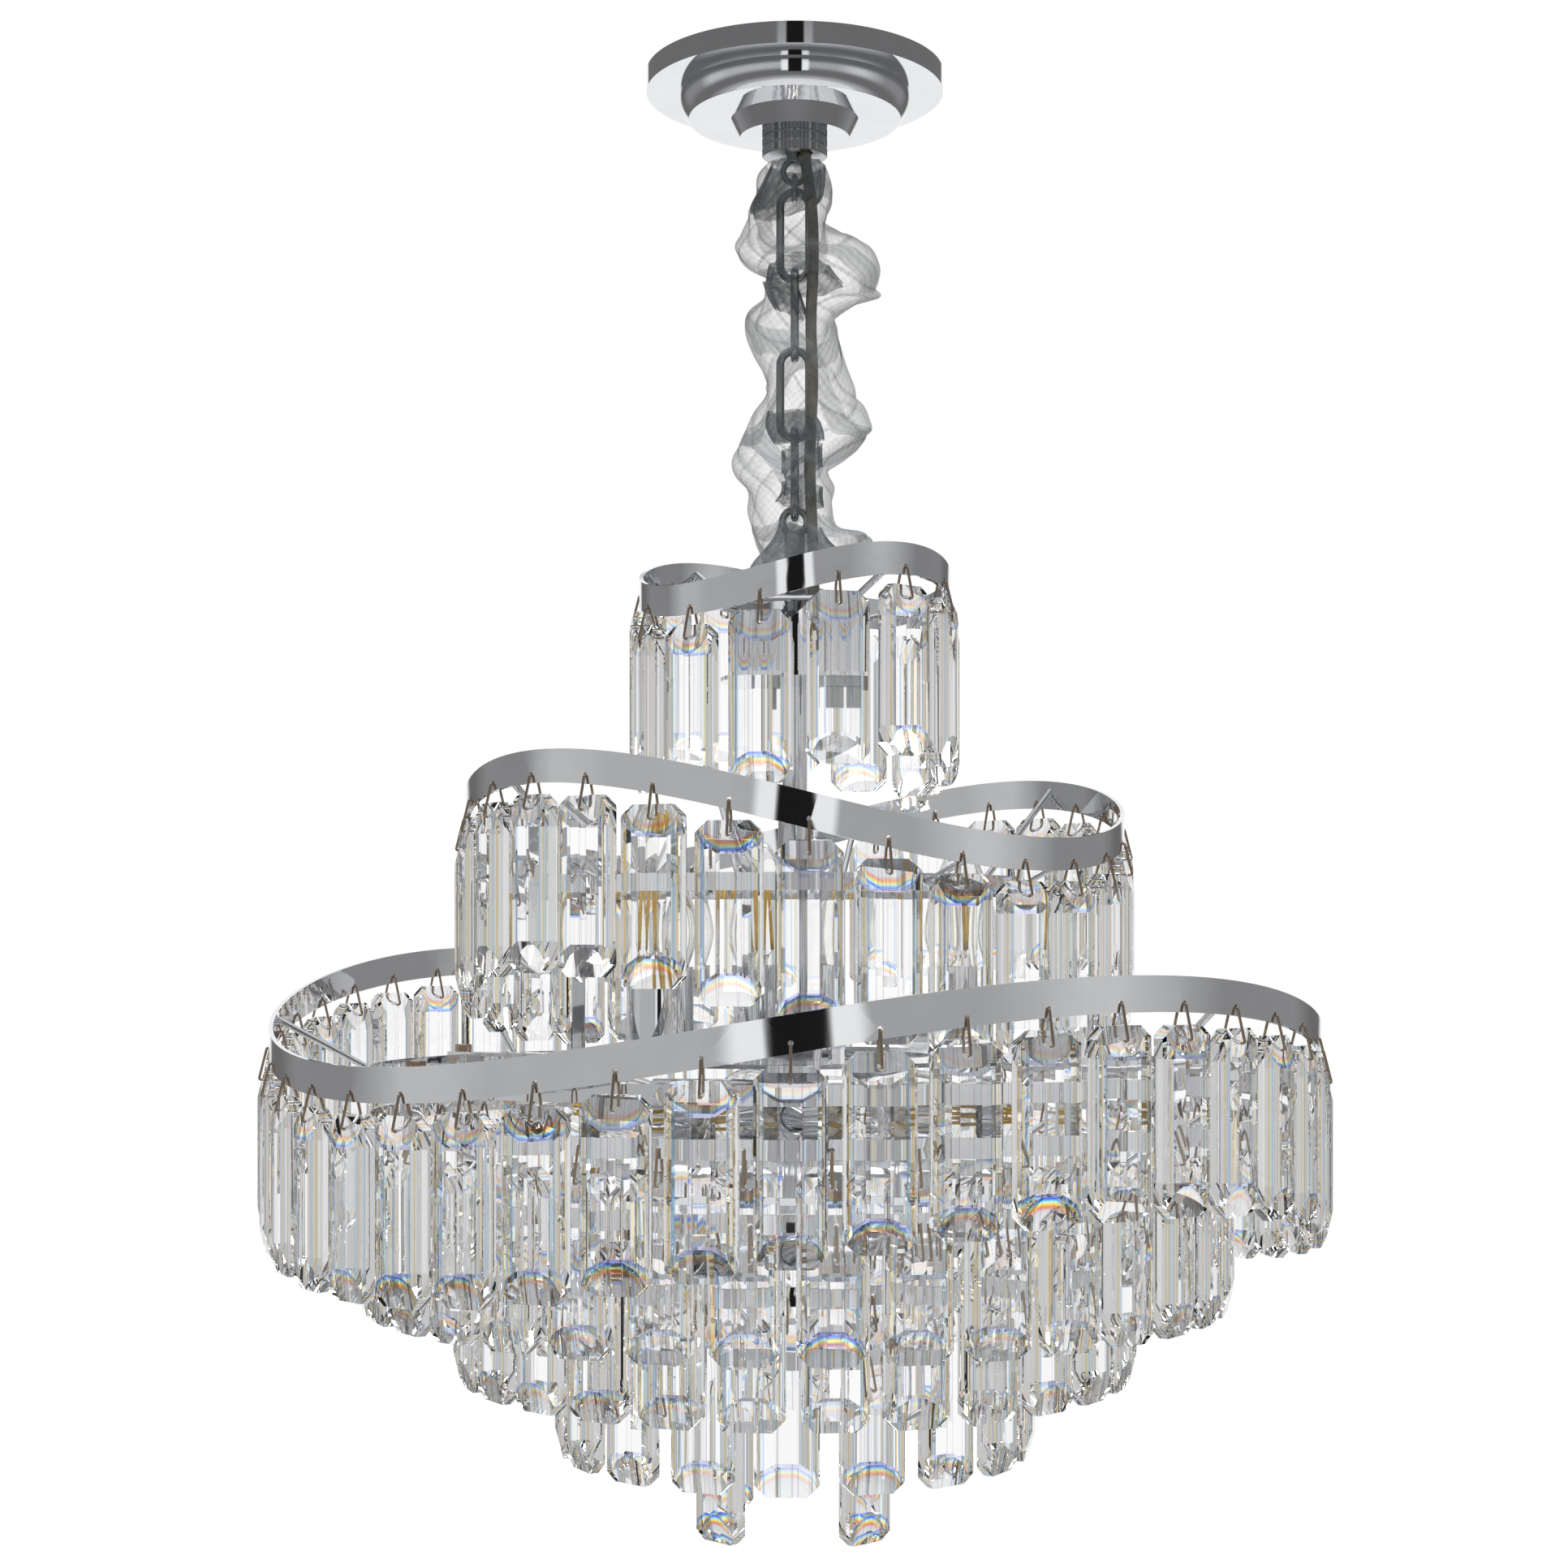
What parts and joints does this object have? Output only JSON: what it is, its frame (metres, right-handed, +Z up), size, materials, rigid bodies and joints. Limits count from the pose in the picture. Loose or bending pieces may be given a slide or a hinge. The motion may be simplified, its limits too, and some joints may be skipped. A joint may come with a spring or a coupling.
{
  "type": "pendant chandelier",
  "caption": "Chain-hung chrome chandelier: three wave rings of hanging faceted glass bars over stepped inner rings, candle lamps inside, stepped canopy, organza sleeve.",
  "frame": {"origin": "middle of the mounting strap's upper face, on the ceiling plane", "axes": "+Z up, along the hanging axis; -Y is the front"},
  "size_m": [0.5099, 0.5098, 0.7036],
  "materials": {
    "bright_chrome": "mirror",
    "frame_chrome": "polished",
    "zinc_steel": "zinc plated",
    "lamp_plastic": "moulded",
    "antique_brass": "dark antique",
    "crystal_glass": "clear, faceted",
    "bulb_glass": "clear",
    "cable_sheath": "translucent sheath",
    "organza": "sheer"
  },
  "bodies": {
    "ceiling_fixing": {"canopy": "bright_chrome", "mounting_strap": "zinc_steel", "threaded_nipple": "zinc_steel", "terminal_block": "lamp_plastic", "hanging_loop": "frame_chrome"},
    "collar": {"collar_ring": "frame_chrome"},
    "swivel": {"swivel_ring": "frame_chrome"},
    "pendant": {"hub_cup": "bright_chrome", "hub_cover": "bright_chrome", "wave_ring_top": "bright_chrome", "wave_ring_mid": "bright_chrome", "wave_ring_bottom": "bright_chrome", "mid_inner_ring": "bright_chrome", "frame_ring": "bright_chrome", "tier_ring_1": "bright_chrome", "tier_ring_2": "bright_chrome", "tier_ring_3": "bright_chrome", "tier_ring_4": "bright_chrome", "posts": "bright_chrome", "lamp_cups": "bright_chrome", "mirror_bowl": "bright_chrome", "base_nut": "bright_chrome", "hub_eye": "frame_chrome", "top_ring_rods": "frame_chrome", "mid_ring_rods": "frame_chrome", "bottom_ring_rods": "frame_chrome", "rib_rods": "frame_chrome", "cross_arms": "frame_chrome", "lamp_ring": "frame_chrome", "central_tube": "frame_chrome", "lamp_hub": "frame_chrome", "chain_link_1": "frame_chrome", "chain_link_2": "frame_chrome", "chain_link_3": "frame_chrome", "chain_link_4": "frame_chrome", "hub_studs": "zinc_steel", "lamp_sockets": "lamp_plastic", "arm_nuts": "antique_brass", "crystal_clips": "antique_brass", "crystals_top": "crystal_glass", "crystals_mid": "crystal_glass", "crystals_bottom": "crystal_glass", "crystals_tier_1": "crystal_glass", "crystals_tier_2": "crystal_glass", "crystals_tier_3": "crystal_glass", "supply_cable": "cable_sheath", "organza_sleeve": "organza"},
    "bulb_1_body": {"bulb_1": "bulb_glass"},
    "bulb_2_body": {"bulb_2": "bulb_glass"},
    "bulb_3_body": {"bulb_3": "bulb_glass"},
    "bulb_4_body": {"bulb_4": "bulb_glass"},
    "bulb_5_body": {"bulb_5": "bulb_glass"},
    "bulb_6_body": {"bulb_6": "bulb_glass"},
    "bulb_7_body": {"bulb_7": "bulb_glass"},
    "bulb_8_body": {"bulb_8": "bulb_glass"},
    "bulb_9_body": {"bulb_9": "bulb_glass"},
    "drop_crystal_1_body": {"drop_crystal_1": "crystal_glass"},
    "drop_crystal_2_body": {"drop_crystal_2": "crystal_glass"},
    "drop_crystal_3_body": {"drop_crystal_3": "crystal_glass"},
    "drop_crystal_4_body": {"drop_crystal_4": "crystal_glass"}
  },
  "joints": [
    {"name": "collar_turn", "type": "hinge", "parent": "ceiling_fixing", "child": "collar", "pos_m": [0, 0, -0.03605], "axis": [0, 0, 1], "continuous": true},
    {"name": "swing_front_back", "type": "hinge", "parent": "ceiling_fixing", "child": "swivel", "pos_m": [0, 0, -0.0531], "axis": [1, 0, 0], "range_deg": [-12, 12]},
    {"name": "swing_side", "type": "hinge", "parent": "swivel", "child": "pendant", "pos_m": [0, 0, -0.061], "axis": [0, 1, 0], "range_deg": [-12, 12]},
    {"name": "bulb_1_unscrew", "type": "slide", "parent": "pendant", "child": "bulb_1_body", "axis": [0, 0, 1], "range_m": [0, 0.012]},
    {"name": "bulb_2_unscrew", "type": "slide", "parent": "pendant", "child": "bulb_2_body", "axis": [0, 0, 1], "range_m": [0, 0.012]},
    {"name": "bulb_3_unscrew", "type": "slide", "parent": "pendant", "child": "bulb_3_body", "axis": [0, 0, 1], "range_m": [0, 0.012]},
    {"name": "bulb_4_unscrew", "type": "slide", "parent": "pendant", "child": "bulb_4_body", "axis": [0.2588, -0.9659, 0], "range_m": [0, 0.012]},
    {"name": "bulb_5_unscrew", "type": "slide", "parent": "pendant", "child": "bulb_5_body", "axis": [0.9659, -0.2588, 0], "range_m": [0, 0.012]},
    {"name": "bulb_6_unscrew", "type": "slide", "parent": "pendant", "child": "bulb_6_body", "axis": [0.7071, 0.7071, 0], "range_m": [0, 0.012]},
    {"name": "bulb_7_unscrew", "type": "slide", "parent": "pendant", "child": "bulb_7_body", "axis": [-0.2588, 0.9659, 0], "range_m": [0, 0.012]},
    {"name": "bulb_8_unscrew", "type": "slide", "parent": "pendant", "child": "bulb_8_body", "axis": [-0.9659, 0.2588, 0], "range_m": [0, 0.012]},
    {"name": "bulb_9_unscrew", "type": "slide", "parent": "pendant", "child": "bulb_9_body", "axis": [-0.7071, -0.7071, 0], "range_m": [0, 0.012]},
    {"name": "drop_1_swing", "type": "hinge", "parent": "pendant", "child": "drop_crystal_1_body", "pos_m": [0.03274, -0.0351, -0.63095], "axis": [0.682, -0.7314, 0], "range_deg": [-20, 20]},
    {"name": "drop_2_swing", "type": "hinge", "parent": "pendant", "child": "drop_crystal_2_body", "pos_m": [0.0351, 0.03274, -0.63095], "axis": [0.7314, 0.682, 0], "range_deg": [-20, 20]},
    {"name": "drop_3_swing", "type": "hinge", "parent": "pendant", "child": "drop_crystal_3_body", "pos_m": [-0.03274, 0.0351, -0.63095], "axis": [-0.682, 0.7314, 0], "range_deg": [-20, 20]},
    {"name": "drop_4_swing", "type": "hinge", "parent": "pendant", "child": "drop_crystal_4_body", "pos_m": [-0.0351, -0.03274, -0.63095], "axis": [-0.7314, -0.682, 0], "range_deg": [-20, 20]}
  ]
}
